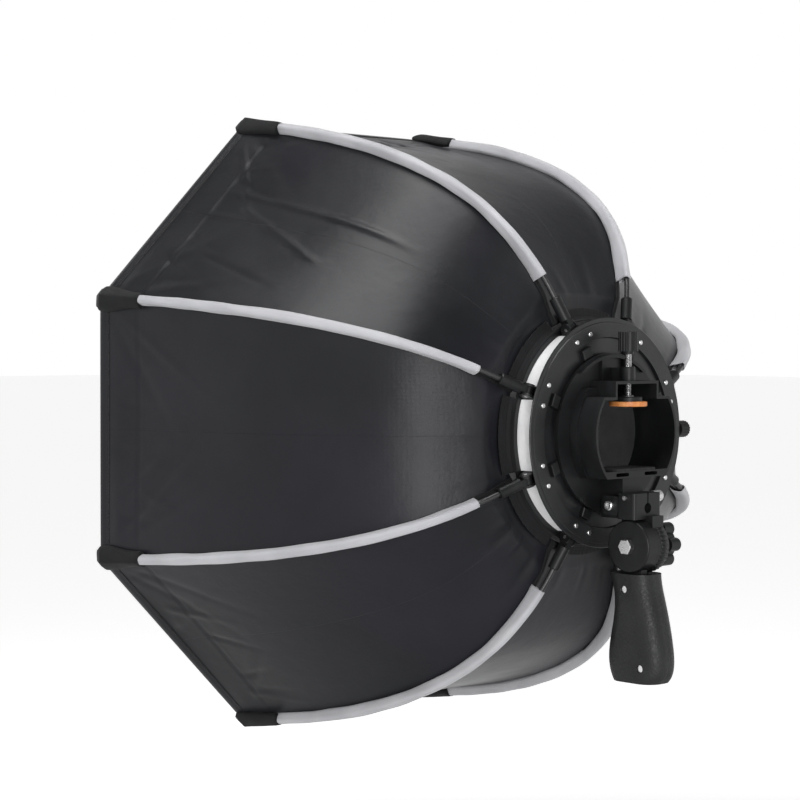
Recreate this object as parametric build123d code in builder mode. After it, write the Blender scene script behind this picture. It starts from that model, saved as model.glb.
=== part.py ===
"""Folding octagonal softbox with a flash bracket and a pistol grip, in millimetres.

The origin is the mouth of the tripod thread under the grip, +Z is up, and the light leaves
towards -Y. Eight bowed ribs fold forward on a ring hub, the hub turns on the bracket's flange,
and the bracket tilts on the grip.
"""
import os
from math import cos, radians, sin

from build123d import *

os.makedirs("parts", exist_ok=True)

# ---------------------------------------------------------------- driving dimensions
RIBS = 8
CORNER_R = 325.0          # optical axis to a corner of the octagon
DEPTH = 373.0             # front edge to the hub's rear face
AXIS_Z = 224.0            # optical axis above the tripod thread
HUB_REAR_Y = -40.0        # the hub's rear face, in front of the tripod thread

RUN_FIT = 0.06            # radial room of a part that turns on another
STATIC_FIT = 0.05         # room of a part that is only pushed in
FACE_GAP = 0.15           # room between faces that slide on each other
SOFT_GAP = 0.4            # room between soft pieces
CUT_OVER = 1.0            # how far a cut starts outside the face it cuts
EDGE = 0.8                # ordinary broken edge
EDGE_FINE = 0.5           # broken edge of a small piece
HEX_SIDES = 6

# ribs, their sockets and hinge pins
ROD_R = 2.5
PIN_R = 1.5
HINGE_R = 104.0           # hinge pin from the optical axis
HINGE_DROP = 13.0         # hinge pin in front of the hub's rear face
RIB_LEAN = 16.0           # degrees that a rib leans forward of the radial direction at its hub end
RIB_STRAIGHT = 35.0       # straight hub end of a rib, from its pin
RIB_HUB_PULL = 168.0      # how far the bow keeps the hub end's direction
RIB_TIP_PULL = 50.0       # how far the bow keeps the tip's direction
RIB_TIP_LEAN = 14.6       # degrees between the tip and the optical axis
SOCKET_R = 5.5
SOCKET_START = 8.5        # barrel's rear end, from the pin
BARREL_LAP = 2.0          # how far the arm runs into the barrel
SOCKET_END = 31.0
ROD_SEAT = 12.0           # rod's end inside the socket, from the pin
EYE_R = 4.8
TONGUE_T = 6.6
EYE_FLAT = 1.0            # tongue slimmer than its eye
SOCKET_CHAMFER = 0.8

# hub
HUB_R = 106.0
FLANGE_R = 64.0           # bracket flange that the hub turns on
HUB_T = 12.0              # thickness of the hub plate at its bore
RIM_T = 2.5               # thickness of its rim
RIM_STEP = 0.8            # lip of the rim below the rear face
RIM_STEP_W = 4.0
RIM_BEVEL = 0.5
DRUM_R = 98.0
DRUM_T = 8.0
DRUM_LENGTH = 14.0
FRONT_FLANGE_R = 103.5
FRONT_FLANGE_T = 3.5
LUG_R = 6.0
LUG_T = 2.3
LUG_SINK = 2.0            # lug's foot inside the drum wall
GROOVE_IN_R = 71.5
GROOVE_OUT_R = 87.0
GROOVE_SLOPE = 1.0        # slope of the groove's outer wall
GROOVE_DEPTH = 3.0
SCREW_CIRCLE_R = 94.2
SCREW_OFFSET = 6.0        # degrees from a rib to each of its two screws
SCREW_R = 1.5
SCREW_HEAD_R = 2.3
SCREW_HEAD_T = 1.5
SCREW_LENGTH = 20.0
STOP_R = 79.0
STOP_SIZE = (9.0, 12.0)   # radial and tangential
STOP_PROUD = 1.4
STOP_SINK = 3.0           # below the groove's floor
STOP_EDGE = 0.7
BAND_T = 1.0
BAND_MARGIN = 0.7         # between the band and a lug
BAND_GAP_DEPTH = 20.0     # cut through the band at each hinge
BAND_HOLE_ROOM = 1.0      # room around the lock screw

# softbox cover
PANEL_T = 1.0
PANEL_DROP = 5.5          # cover below a rib's centre line
PANEL_HUB_R = 103.0
PANEL_HUB_DROP = 28.5     # cover's hub end in front of the hub's rear face
DIFFUSER_T = 1.2
DIFFUSER_MARGIN = 12.0

# bracket with the flash housing
BACK_PLATE_R = 73.5
BACK_PLATE_T = 3.0
RETAINER_R = 70.0
RETAINER_T = 3.0
COLLAR_R = 58.5
COLLAR_LENGTH = 12.6
COLLAR_STEP = 8.0         # collar's roof above the housing's
HOUSING_R = 57.0
HOUSING_LENGTH = 34.0
HOUSING_WALL = 2.6
ROOF_Z = 31.4             # inside of the roof, above the optical axis
FLOOR_Z = -33.0           # inside of the floor
FLOOR_T = 6.5
NOTCH_HALF = 27.7
NOTCH_Z = 45.6
CROWN_R = 72.0
CROWN_T = 7.0
CROWN_WALL = 3.0
CROWN_ANGLE = 40.0        # degrees each side of the top
GUSSET_X = 16.0
GUSSET_T = 3.0
FLOOR_SLOT = (18.0, 3.2, 14.0)   # width, height, depth
FLOOR_SLOT_X = 20.0
RETAINER_SCREW_PLACE_R = 63.5
RETAINER_SCREWS = 4
RETAINER_SCREW_HOLE_R = 1.6

# flash clamp
CLAMP_Y = -17.0
CLAMP_SCREW_R = 3.0
BOSS_R = 6.5
BOSS_TOP = 60.0           # above the optical axis
BOSS_WEB_T = 4.0          # web between the boss and the back plate
BUSH_R = 5.0
BUSH_T = 9.0
BUSH_LIP = 1.2
BUSH_LIP_T = 1.0
KNOB_R = 9.2
KNOB_T = 18.0
KNOB_FLUTE_R = 0.9
KNOB_EDGE = 0.4
KNOB_NECK_T = 2.5         # neck under the knob
KNOB_TOP = 93.0           # above the optical axis
FLUTES = 18
FOOT_R = 13.0
FOOT_T = 4.5
FOOT_SOCKET = 3.5         # clamp screw's end inside the foot
STOP_COLLAR_R = 5.5       # collar on the clamp screw above the foot
STOP_COLLAR_GAP = 0.2
STOP_COLLAR_T = 1.0
CAP_COVER = 2.0           # knob material over a screw's end
FOOT_TOP = 34.0           # above the optical axis
CLAMP_PAD_R = 17.5
CLAMP_PAD_T = 4.5
CLAMP_PAD_ROUND = 1.2
CLAMP_PAD_EDGE = 0.6
FLOOR_PAD_T = 2.0
FLOOR_PAD_SIZE = (58.0, 33.0)
FLOOR_PAD_CORNER = 4.0

# hub lock
LOCK_DROP = 6.6           # lock screw in front of the hub's rear face
LOCK_SCREW_R = 2.5
LOCK_KNOB_R = 8.0
LOCK_FLUTE_R = 0.8
FLUTE_OUT = 0.3           # centre of a flute outside the knob's edge
LOCK_KNOB_T = 12.0
LOCK_KNOB_GAP = 1.2

# tilt joint
PIVOT_Y = -3.0
PIVOT_Z = 123.0
DISC_R = 24.0
DISC_X = 2.0              # face of the grip's disc
DISC_T = 14.0
FRAME_ROUND = 2.0         # rounded rim of the grip's tilt disc
HEAD_DISC_T = 15.5
BOLT_R = 4.0
CAP_FLATS = 13.0
CAP_T = 5.5
WASHER_R = 12.0
WASHER_T = 1.6
STAR_R = 22.0
STAR_LOBES = 6
STAR_T = 14.0
STAR_HUB_R = 10.5
STAR_HUB_T = 5.0
STAR_WEB_R = 15.8         # knob's round body between the lobes
STAR_LOBE_R = 6.2
STAR_ROUND = 1.6
STAR_CAP_T = 3.0          # knob material over the bolt's end
UMBRELLA_R = 4.75
UMBRELLA_Z = 157.5
HEAD_HALF = 19.0
HEAD_CORNER = 3.0
HEAD_LOW_Z = 147.5
HEAD_TOP_Z = 171.0
HEAD_REAR_Y = 7.0
HEAD_MID_Y = -14.0
WEB_HALF = 14.0
PINCH_Z = 166.8
PINCH_Y = -3.5
PINCH_R = 2.0
PINCH_KNOB_R = 5.0
PINCH_FLUTE_R = 0.5
PINCH_FLUTE_OUT = 0.2
PINCH_KNOB_T = 10.0
SLOT_T = 1.6
SIDE_BOLT_R = 3.0
SIDE_BOLT_HEAD_R = 4.6
SIDE_BOLT_HEAD_T = 3.5
SIDE_BOLT_LENGTH = 12.0
SIDE_BOLT_PLACE = (-20.0, 159.6)   # Y and Z
SIDE_BOSS_SIZE = (17.0, 17.5)
SIDE_BOSS_CORNER = 2.5
SIDE_BOSS_T = 7.0
HEX_KEY_R = 2.6
HEX_KEY_DEPTH = 2.0
NECK_Y = -4.0             # middle of the neck between disc and block
NECK_DEPTH = 36.0
PINCH_TIP = 2.0           # pinch screw's end past the block
PINCH_KNOB_GAP = 0.6

# grip
GRIP_HALF = 18.0
GRIP_TOP_Z = 98.0
GRIP_SECTIONS = (          # height, depth, centre in Y
    (0.0, 50.0, 0.5),
    (12.0, 61.0, 1.0),
    (34.0, 60.0, 0.5),
    (62.0, 49.0, 0.0),
    (82.0, 44.0, -3.0),
    (98.0, 46.0, -6.5),
)
GRIP_CORNER = 15.0
TANG_T = 8.0
TANG_Y = (-16.0, 8.0)
TANG_LOW_Z = 16.0
TRIPOD_R = 3.175          # 1/4 inch thread, major radius
TRIPOD_LENGTH = 12.0
INSERT_R = 5.5
GRIP_SCREW_PLACES = ((13.0, 14.0), (-6.0, 84.0))   # Y and Z
GRIP_SCREW_HEAD_R = 3.2
GRIP_SCREW_HEAD_T = 1.6
GRIP_SCREW_SINK = 3.0     # recess under each screw head
GRIP_SCREW_ROOM = 0.3

# ---------------------------------------------------------------- worked out from the above
FRONT_Y = HUB_REAR_Y - DEPTH
HINGE_Y = HUB_REAR_Y - HINGE_DROP
HALF_STEP = 180.0 / RIBS
RIB_ANGLES = [HALF_STEP + 2 * HALF_STEP * i for i in range(RIBS)]
OPTICAL_AXIS = Axis((0, 0, AXIS_Z), (0, 1, 0))
DRUM_REAR_Y = HUB_REAR_Y - HUB_T
DRUM_FRONT_Y = DRUM_REAR_Y - DRUM_LENGTH


def axial(angle, shift=0.0):
    """Plane through the optical axis: local x is radial, local y is +Y, shifted tangentially."""
    out = Vector(-sin(radians(angle)), 0, cos(radians(angle)))
    return Plane(
        origin=Vector(0, 0, AXIS_Z) + out * shift,
        x_dir=(cos(radians(angle)), 0, sin(radians(angle))),
        z_dir=out,
    )


def across(y, z=AXIS_Z):
    """Plane across the optical axis at y: local x is +X, local y is +Z, extrusions go forward."""
    return Plane(origin=(0, y, z), x_dir=(1, 0, 0), z_dir=(0, -1, 0))


def side(x):
    """Plane facing +X: local x is +Y, local y is +Z."""
    return Plane(origin=(x, 0, 0), x_dir=(0, 1, 0), z_dir=(1, 0, 0))


def level(z):
    """Plane facing +Z at height z."""
    return Plane.XY.offset(z)


def rib_direction():
    """Unit (radial, Y) direction in which a rib leaves its hinge."""
    return cos(radians(RIB_LEAN)), -sin(radians(RIB_LEAN))


def rib_place(distance, drop=0.0):
    """(radial, Y) at a distance from the pin along the rib's straight end, and below it."""
    dr, dy = rib_direction()
    return HINGE_R + distance * dr + drop * dy, HINGE_Y + distance * dy - drop * dr


def bow_points(drop=0.0, share=1.0):
    """Control points of a rib's bow in (radial, Y), moved inwards by drop and scaled sideways."""
    dr, dy = rib_direction()
    tip_r, tip_y = sin(radians(RIB_TIP_LEAN)), cos(radians(RIB_TIP_LEAN))
    hub_r, hub_y = rib_place(RIB_STRAIGHT, drop)
    end_r = CORNER_R - drop
    points = [
        (hub_r, hub_y),
        (hub_r + RIB_HUB_PULL * dr, hub_y + RIB_HUB_PULL * dy),
        (end_r - RIB_TIP_PULL * tip_r, FRONT_Y + RIB_TIP_PULL * tip_y),
        (end_r, FRONT_Y),
    ]
    return [(r * share, y) for r, y in points]


def save(part, name):
    """Labels one finished piece and writes it as its own node."""
    part.label = name
    export_step(part, f"parts/{name}.step")


# ---------------------------------------------------------------- ribs
for number, angle in enumerate(RIB_ANGLES, start=1):
    plane = axial(angle)
    with BuildPart() as rib_rod:
        with BuildLine(plane) as rod_path:
            Line(rib_place(ROD_SEAT), rib_place(RIB_STRAIGHT))
            Bezier(*bow_points())
        with BuildSketch(Plane(origin=rod_path.line @ 0, z_dir=rod_path.line % 0)):
            Circle(ROD_R)
        sweep()
    save(rib_rod.part, f"rib_rod_{number}")

    dr, dy = rib_direction()
    along = plane.from_local_coords(Vector(dr, dy, 0)) - plane.origin
    barrel_plane = Plane(
        origin=plane.from_local_coords(Vector(*rib_place(SOCKET_START), 0)), z_dir=along
    )
    with BuildPart() as rib_socket:
        with BuildSketch(plane):
            with Locations(rib_place(0)):
                Circle(EYE_R)
            with Locations(Location((*rib_place((SOCKET_START + BARREL_LAP) / 2), 0), (0, 0, -RIB_LEAN))):
                Rectangle(SOCKET_START + BARREL_LAP, 2 * EYE_R - EYE_FLAT)
        extrude(amount=TONGUE_T / 2, both=True)
        with BuildSketch(barrel_plane):
            Circle(SOCKET_R)
        extrude(amount=SOCKET_END - SOCKET_START)
        end_face = rib_socket.faces().sort_by(Axis(barrel_plane.origin, along))[-1]
        chamfer(end_face.edges(), SOCKET_CHAMFER)
        with BuildSketch(barrel_plane.offset(ROD_SEAT - SOCKET_START - STATIC_FIT)):
            Circle(ROD_R + STATIC_FIT)
        extrude(amount=SOCKET_END - ROD_SEAT + 2 * CUT_OVER, mode=Mode.SUBTRACT)
        with BuildSketch(plane):
            with Locations(rib_place(0)):
                Circle(PIN_R + RUN_FIT)
        extrude(amount=TONGUE_T, both=True, mode=Mode.SUBTRACT)
    save(rib_socket.part, f"rib_socket_{number}")

# ---------------------------------------------------------------- cover
for number, angle in enumerate(RIB_ANGLES, start=1):
    middle = angle + HALF_STEP
    share = cos(radians(HALF_STEP))
    half_width = CORNER_R * sin(radians(HALF_STEP))
    for name, turn in (("left", 1), ("right", -1)):
        with BuildPart() as half_panel:
            with BuildSketch(axial(middle, turn * SOFT_GAP / 2)):
                with BuildLine():
                    outer = Bezier(*bow_points(PANEL_DROP, share))
                    inner = Bezier(*bow_points(PANEL_DROP + PANEL_T, share))
                    hub_out = (PANEL_HUB_R * share, HUB_REAR_Y - PANEL_HUB_DROP)
                    hub_in = (hub_out[0], hub_out[1] - PANEL_T)
                    Polyline(inner @ 0, hub_in, hub_out, outer @ 0)
                    Line(outer @ 1, inner @ 1)
                make_face()
            extrude(amount=turn * half_width)
            rib_side = axial(middle + turn * HALF_STEP, -turn * SOFT_GAP / 2)
            split(bisect_by=rib_side, keep=Keep.BOTTOM if turn > 0 else Keep.TOP)
        # the half on the far side of its rib's panel belongs to the next rib
        owner = number % RIBS + 1 if turn > 0 else number
        hand = "before" if turn > 0 else "after"
        save(half_panel.part, f"panel_{owner}_{hand}")

with BuildPart() as front_diffuser:
    with BuildSketch(across(FRONT_Y + DIFFUSER_T)):
        RegularPolygon(CORNER_R - DIFFUSER_MARGIN, RIBS, rotation=HALF_STEP)
    extrude(amount=DIFFUSER_T)
save(front_diffuser.part, "front_diffuser")

# ---------------------------------------------------------------- hub
LOCK_Y = HUB_REAR_Y - LOCK_DROP
LOCK_SCREW_OUT_R = HUB_R + LOCK_KNOB_GAP + LOCK_KNOB_T - CAP_COVER


def lock_plane(radius):
    """Plane facing the optical axis from the hub lock's side, at a radius."""
    return Plane(origin=(-radius, LOCK_Y, AXIS_Z), x_dir=(0, 1, 0), z_dir=(1, 0, 0))


with BuildPart() as hub_plate:
    with BuildSketch(axial(0)):
        with BuildLine():
            Polyline(
                (FLANGE_R + RUN_FIT, HUB_REAR_Y),
                (FLANGE_R + RUN_FIT, DRUM_REAR_Y),
                (DRUM_R, DRUM_REAR_Y),
                (DRUM_R, HUB_REAR_Y - RIM_T),
                (HUB_R - RIM_BEVEL, HUB_REAR_Y - RIM_T),
                (HUB_R, HUB_REAR_Y - RIM_T + RIM_BEVEL),
                (HUB_R, HUB_REAR_Y - RIM_STEP - RIM_BEVEL),
                (HUB_R - RIM_BEVEL, HUB_REAR_Y - RIM_STEP),
                (HUB_R - RIM_STEP_W, HUB_REAR_Y - RIM_STEP),
                (HUB_R - RIM_STEP_W - RIM_BEVEL, HUB_REAR_Y),
                (GROOVE_OUT_R + GROOVE_SLOPE, HUB_REAR_Y),
                (GROOVE_OUT_R, HUB_REAR_Y - GROOVE_DEPTH),
                (GROOVE_IN_R, HUB_REAR_Y - GROOVE_DEPTH),
                (GROOVE_IN_R, HUB_REAR_Y),
                close=True,
            )
        make_face()
    revolve(axis=OPTICAL_AXIS)
    with BuildSketch(across(HUB_REAR_Y)):
        for angle in RIB_ANGLES:
            for turn in (-1, 1):
                with Locations(Vector(SCREW_CIRCLE_R, 0).rotate(Axis.Z, angle + turn * SCREW_OFFSET)):
                    Circle(SCREW_R + STATIC_FIT)
    extrude(amount=HUB_T, mode=Mode.SUBTRACT)
    with BuildSketch(across(HUB_REAR_Y)):
        for angle in RIB_ANGLES:
            with Locations(Location(Vector(STOP_R, 0).rotate(Axis.Z, angle), (0, 0, angle))):
                Rectangle(STOP_SIZE[0] + 2 * STATIC_FIT, STOP_SIZE[1] + 2 * STATIC_FIT)
    extrude(amount=GROOVE_DEPTH + STOP_SINK, mode=Mode.SUBTRACT)
    with BuildSketch(lock_plane(HUB_R + CUT_OVER)):
        Circle(LOCK_SCREW_R + RUN_FIT)
    extrude(amount=HUB_R + CUT_OVER - FLANGE_R, mode=Mode.SUBTRACT)
save(hub_plate.part, "hub_plate")

with BuildPart() as hub_drum:
    with BuildSketch(axial(0)):
        with BuildLine():
            Polyline(
                (DRUM_R - DRUM_T, DRUM_REAR_Y),
                (DRUM_R - DRUM_T, DRUM_FRONT_Y),
                (FRONT_FLANGE_R, DRUM_FRONT_Y),
                (FRONT_FLANGE_R, DRUM_FRONT_Y + FRONT_FLANGE_T),
                (DRUM_R, DRUM_FRONT_Y + FRONT_FLANGE_T),
                (DRUM_R, DRUM_REAR_Y),
                close=True,
            )
        make_face()
    revolve(axis=OPTICAL_AXIS)
    for angle in RIB_ANGLES:
        for turn in (-1, 1):
            inner_face = TONGUE_T / 2 + FACE_GAP
            with BuildSketch(axial(angle, turn * inner_face)):
                with Locations((HINGE_R, HINGE_Y)):
                    Circle(LUG_R)
                with Locations((HINGE_R, HINGE_Y)):
                    Rectangle(HINGE_R - DRUM_R - STATIC_FIT, 2 * LUG_R, align=(Align.MAX, Align.CENTER))
                with Locations((HINGE_R, HINGE_Y - LUG_R)):
                    Rectangle(HINGE_R - DRUM_R + LUG_SINK, DRUM_REAR_Y - HINGE_Y + LUG_R,
                              align=(Align.MAX, Align.MIN))
            extrude(amount=turn * LUG_T)
        with BuildSketch(axial(angle)):
            with Locations((HINGE_R, HINGE_Y)):
                Circle(PIN_R + STATIC_FIT)
        extrude(amount=TONGUE_T + LUG_T, both=True, mode=Mode.SUBTRACT)
    with BuildSketch(across(DRUM_REAR_Y)):
        for angle in RIB_ANGLES:
            for turn in (-1, 1):
                with Locations(Vector(SCREW_CIRCLE_R, 0).rotate(Axis.Z, angle + turn * SCREW_OFFSET)):
                    Circle(SCREW_R + STATIC_FIT)
    extrude(amount=SCREW_LENGTH - HUB_T + CUT_OVER, mode=Mode.SUBTRACT)
save(hub_drum.part, "hub_drum")

with BuildPart() as hinge_pins:
    for angle in RIB_ANGLES:
        with BuildSketch(axial(angle)):
            with Locations((HINGE_R, HINGE_Y)):
                Circle(PIN_R)
        extrude(amount=TONGUE_T / 2 + FACE_GAP + LUG_T, both=True)
save(hinge_pins.part, "hinge_pins")

with BuildPart() as plate_screws:
    for angle in RIB_ANGLES:
        for turn in (-1, 1):
            place = Vector(SCREW_CIRCLE_R, 0).rotate(Axis.Z, angle + turn * SCREW_OFFSET)
            with BuildSketch(across(HUB_REAR_Y + SCREW_HEAD_T)):
                with Locations(place):
                    Circle(SCREW_HEAD_R)
            extrude(amount=SCREW_HEAD_T)
            with BuildSketch(across(HUB_REAR_Y)):
                with Locations(place):
                    Circle(SCREW_R)
            extrude(amount=SCREW_LENGTH)
    chamfer(plate_screws.faces().sort_by(Axis.Y)[-2 * RIBS:].edges(), EDGE_FINE)
save(plate_screws.part, "plate_screws")

with BuildPart() as rib_stops:
    for angle in RIB_ANGLES:
        with BuildSketch(across(HUB_REAR_Y + STOP_PROUD)):
            with Locations(Location(Vector(STOP_R, 0).rotate(Axis.Z, angle), (0, 0, angle))):
                Rectangle(*STOP_SIZE)
        extrude(amount=STOP_PROUD + GROOVE_DEPTH + STOP_SINK - STATIC_FIT)
    chamfer(rib_stops.faces().sort_by(Axis.Y)[-RIBS:].edges(), STOP_EDGE)
save(rib_stops.part, "rib_stops")

with BuildPart() as reflective_band:
    band_rear = HUB_REAR_Y - RIM_T - STATIC_FIT
    band_front = DRUM_FRONT_Y + FRONT_FLANGE_T + STATIC_FIT
    with BuildSketch(across(band_rear)):
        Circle(DRUM_R + STATIC_FIT + BAND_T)
        Circle(DRUM_R + STATIC_FIT, mode=Mode.SUBTRACT)
        for angle in RIB_ANGLES:
            with Locations(Location(Vector(DRUM_R, 0).rotate(Axis.Z, angle), (0, 0, angle))):
                Rectangle(BAND_GAP_DEPTH, TONGUE_T + 2 * (FACE_GAP + LUG_T + BAND_MARGIN), mode=Mode.SUBTRACT)
    extrude(amount=band_rear - band_front)
    with BuildSketch(lock_plane(HUB_R + CUT_OVER)):
        Circle(LOCK_SCREW_R + BAND_HOLE_ROOM)
    extrude(amount=HUB_R + CUT_OVER - FLANGE_R, mode=Mode.SUBTRACT)
save(reflective_band.part, "reflective_band")

with BuildPart() as lock_screw:
    with BuildSketch(lock_plane(LOCK_SCREW_OUT_R)):
        Circle(LOCK_SCREW_R)
    extrude(amount=LOCK_SCREW_OUT_R - FLANGE_R - 2 * RUN_FIT)
save(lock_screw.part, "lock_screw")

with BuildPart() as lock_knob:
    with BuildSketch(lock_plane(HUB_R + LOCK_KNOB_GAP + LOCK_KNOB_T)):
        Circle(LOCK_KNOB_R)
        with PolarLocations(LOCK_KNOB_R + FLUTE_OUT, FLUTES):
            Circle(LOCK_FLUTE_R, mode=Mode.SUBTRACT)
    extrude(amount=LOCK_KNOB_T)
    with BuildSketch(lock_plane(LOCK_SCREW_OUT_R + STATIC_FIT)):
        Circle(LOCK_SCREW_R + STATIC_FIT)
    extrude(amount=LOCK_KNOB_T, mode=Mode.SUBTRACT)
save(lock_knob.part, "lock_knob")

# ---------------------------------------------------------------- bracket
FLANGE_REAR_Y = HUB_REAR_Y + FACE_GAP
FLANGE_FRONT_Y = DRUM_REAR_Y - FACE_GAP
HOUSING_REAR_Y = HUB_REAR_Y + HOUSING_LENGTH


def housing_outline(radius, roof, floor, notch_half, notch_top, mode=Mode.ADD):
    """Adds a round outline cut flat at roof and floor, with a notch in the roof."""
    with BuildSketch(mode=Mode.PRIVATE) as outline:
        Circle(radius)
        with Locations((0, (roof + floor) / 2)):
            Rectangle(4 * radius, roof - floor, mode=Mode.INTERSECT)
        with Locations((0, notch_top / 2)):
            Rectangle(2 * notch_half, notch_top)
    add(outline.sketch, mode=mode)


with BuildPart() as bracket_housing:
    with BuildSketch(across(FLANGE_REAR_Y)):
        Circle(FLANGE_R)
    extrude(amount=FLANGE_REAR_Y - FLANGE_FRONT_Y)
    with BuildSketch(across(FLANGE_REAR_Y + BACK_PLATE_T)):
        Circle(BACK_PLATE_R)
    extrude(amount=BACK_PLATE_T)
    with BuildSketch(across(HUB_REAR_Y + COLLAR_LENGTH)):
        housing_outline(
            COLLAR_R, ROOF_Z + HOUSING_WALL + COLLAR_STEP, FLOOR_Z - FLOOR_T,
            NOTCH_HALF + HOUSING_WALL, NOTCH_Z + HOUSING_WALL,
        )
    extrude(amount=COLLAR_LENGTH - FACE_GAP)
    with BuildSketch(across(HOUSING_REAR_Y)):
        housing_outline(
            HOUSING_R, ROOF_Z + HOUSING_WALL, FLOOR_Z - FLOOR_T,
            NOTCH_HALF + HOUSING_WALL, NOTCH_Z + HOUSING_WALL,
        )
    extrude(amount=HOUSING_LENGTH - FACE_GAP)
    with BuildSketch(across(HUB_REAR_Y + CROWN_T)):
        Circle(CROWN_R)
        Circle(CROWN_R - CROWN_WALL, mode=Mode.SUBTRACT)
        with Locations((0, CROWN_R)):
            Rectangle(2 * CROWN_R * sin(radians(CROWN_ANGLE)),
                      2 * CROWN_R * (1 - cos(radians(CROWN_ANGLE))), mode=Mode.INTERSECT)
    extrude(amount=CROWN_T - BACK_PLATE_T / 2)
    with BuildSketch(across(HUB_REAR_Y + CROWN_T)):
        gusset_middle = (NOTCH_Z + CROWN_R - CROWN_WALL / 2) / 2
        with Locations((-GUSSET_X, gusset_middle), (GUSSET_X, gusset_middle)):
            Rectangle(GUSSET_T, CROWN_R - CROWN_WALL - NOTCH_Z)
    extrude(amount=CROWN_T - BACK_PLATE_T / 2)
    boss_start = (0, CLAMP_Y, AXIS_Z + NOTCH_Z + CUT_OVER)
    with BuildSketch(Plane(origin=boss_start, x_dir=(1, 0, 0), z_dir=(0, 0, 1))):
        Circle(BOSS_R)
        with Locations((0, -(CLAMP_Y - FLANGE_REAR_Y) / 2)):
            Rectangle(BOSS_WEB_T, CLAMP_Y - FLANGE_REAR_Y - 2 * CUT_OVER)
    extrude(amount=BOSS_TOP - NOTCH_Z - CUT_OVER)
    with BuildSketch(across(HOUSING_REAR_Y)):
        housing_outline(HOUSING_R - HOUSING_WALL, ROOF_Z, FLOOR_Z, NOTCH_HALF, NOTCH_Z)
    extrude(amount=HOUSING_LENGTH + HUB_T + CUT_OVER, mode=Mode.SUBTRACT)
    with BuildSketch(Plane(origin=(0, CLAMP_Y, AXIS_Z + BOSS_TOP), x_dir=(1, 0, 0), z_dir=(0, 0, -1))):
        Circle(BUSH_R + STATIC_FIT)
    extrude(amount=BOSS_TOP - NOTCH_Z + CUT_OVER, mode=Mode.SUBTRACT)
    with BuildSketch(across(HOUSING_REAR_Y)):
        slot_z = FLOOR_Z - FLOOR_T / 2
        with Locations((-FLOOR_SLOT_X, slot_z), (FLOOR_SLOT_X, slot_z)):
            SlotOverall(FLOOR_SLOT[0], FLOOR_SLOT[1])
    extrude(amount=FLOOR_SLOT[2], mode=Mode.SUBTRACT)
    fillet(
        bracket_housing.edges().filter_by(Axis.Y).group_by(SortBy.LENGTH)[-1], EDGE
    )
save(bracket_housing.part, "bracket_housing")

with BuildPart() as retaining_ring:
    with BuildSketch(across(FLANGE_FRONT_Y)):
        Circle(RETAINER_R)
        housing_outline(HOUSING_R, ROOF_Z + HOUSING_WALL, FLOOR_Z - HOUSING_WALL,
                        NOTCH_HALF + HOUSING_WALL / 2, NOTCH_Z + HOUSING_WALL, mode=Mode.SUBTRACT)
    extrude(amount=RETAINER_T)
    with BuildSketch(across(FLANGE_FRONT_Y)):
        with PolarLocations(RETAINER_SCREW_PLACE_R, RETAINER_SCREWS):
            Circle(RETAINER_SCREW_HOLE_R)
    extrude(amount=RETAINER_T, mode=Mode.SUBTRACT)
save(retaining_ring.part, "retaining_ring")

with BuildPart() as floor_pad:
    with BuildSketch(level(AXIS_Z + FLOOR_Z)):
        with Locations((0, HUB_REAR_Y + HOUSING_LENGTH / 2)):
            RectangleRounded(*FLOOR_PAD_SIZE, FLOOR_PAD_CORNER)
    extrude(amount=FLOOR_PAD_T)
    chamfer(floor_pad.faces().sort_by(Axis.Z)[-1].edges(), EDGE_FINE)
save(floor_pad.part, "floor_pad")

# ---------------------------------------------------------------- flash clamp


def clamp_plane(height):
    """Level plane on the clamp screw's axis at a height above the optical axis."""
    return Plane(origin=(0, CLAMP_Y, AXIS_Z + height), x_dir=(1, 0, 0), z_dir=(0, 0, 1))


with BuildPart() as clamp_bush:
    with BuildSketch(clamp_plane(BOSS_TOP - BUSH_T)):
        Circle(BUSH_R)
    extrude(amount=BUSH_T)
    with BuildSketch(clamp_plane(BOSS_TOP)):
        Circle(BUSH_R + BUSH_LIP)
    extrude(amount=BUSH_LIP_T)
    with BuildSketch(clamp_plane(BOSS_TOP - BUSH_T)):
        Circle(CLAMP_SCREW_R + RUN_FIT)
    extrude(amount=BUSH_T + BUSH_LIP_T, mode=Mode.SUBTRACT)
save(clamp_bush.part, "clamp_bush")

with BuildPart() as clamp_screw:
    with BuildSketch(clamp_plane(FOOT_TOP - FOOT_SOCKET + STOP_COLLAR_GAP)):
        Circle(CLAMP_SCREW_R)
    extrude(amount=KNOB_TOP - CAP_COVER - FOOT_TOP + FOOT_SOCKET - STOP_COLLAR_GAP)
    with BuildSketch(clamp_plane(FOOT_TOP + STOP_COLLAR_GAP)):
        Circle(STOP_COLLAR_R)
    extrude(amount=STOP_COLLAR_T)
save(clamp_screw.part, "clamp_screw")

with BuildPart() as clamp_knob:
    with BuildSketch(clamp_plane(KNOB_TOP - KNOB_T)):
        Circle(KNOB_R)
        with PolarLocations(KNOB_R + FLUTE_OUT, FLUTES):
            Circle(KNOB_FLUTE_R, mode=Mode.SUBTRACT)
    extrude(amount=KNOB_T)
    chamfer(clamp_knob.faces().sort_by(Axis.Z)[-1].edges().filter_by(GeomType.CIRCLE), KNOB_EDGE)
    with BuildSketch(clamp_plane(KNOB_TOP - KNOB_T - KNOB_NECK_T)):
        Circle(BUSH_R)
    extrude(amount=KNOB_NECK_T)
    with BuildSketch(clamp_plane(KNOB_TOP - CAP_COVER + STATIC_FIT)):
        Circle(CLAMP_SCREW_R + STATIC_FIT)
    extrude(amount=-KNOB_T - KNOB_NECK_T, mode=Mode.SUBTRACT)
save(clamp_knob.part, "clamp_knob")

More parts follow.
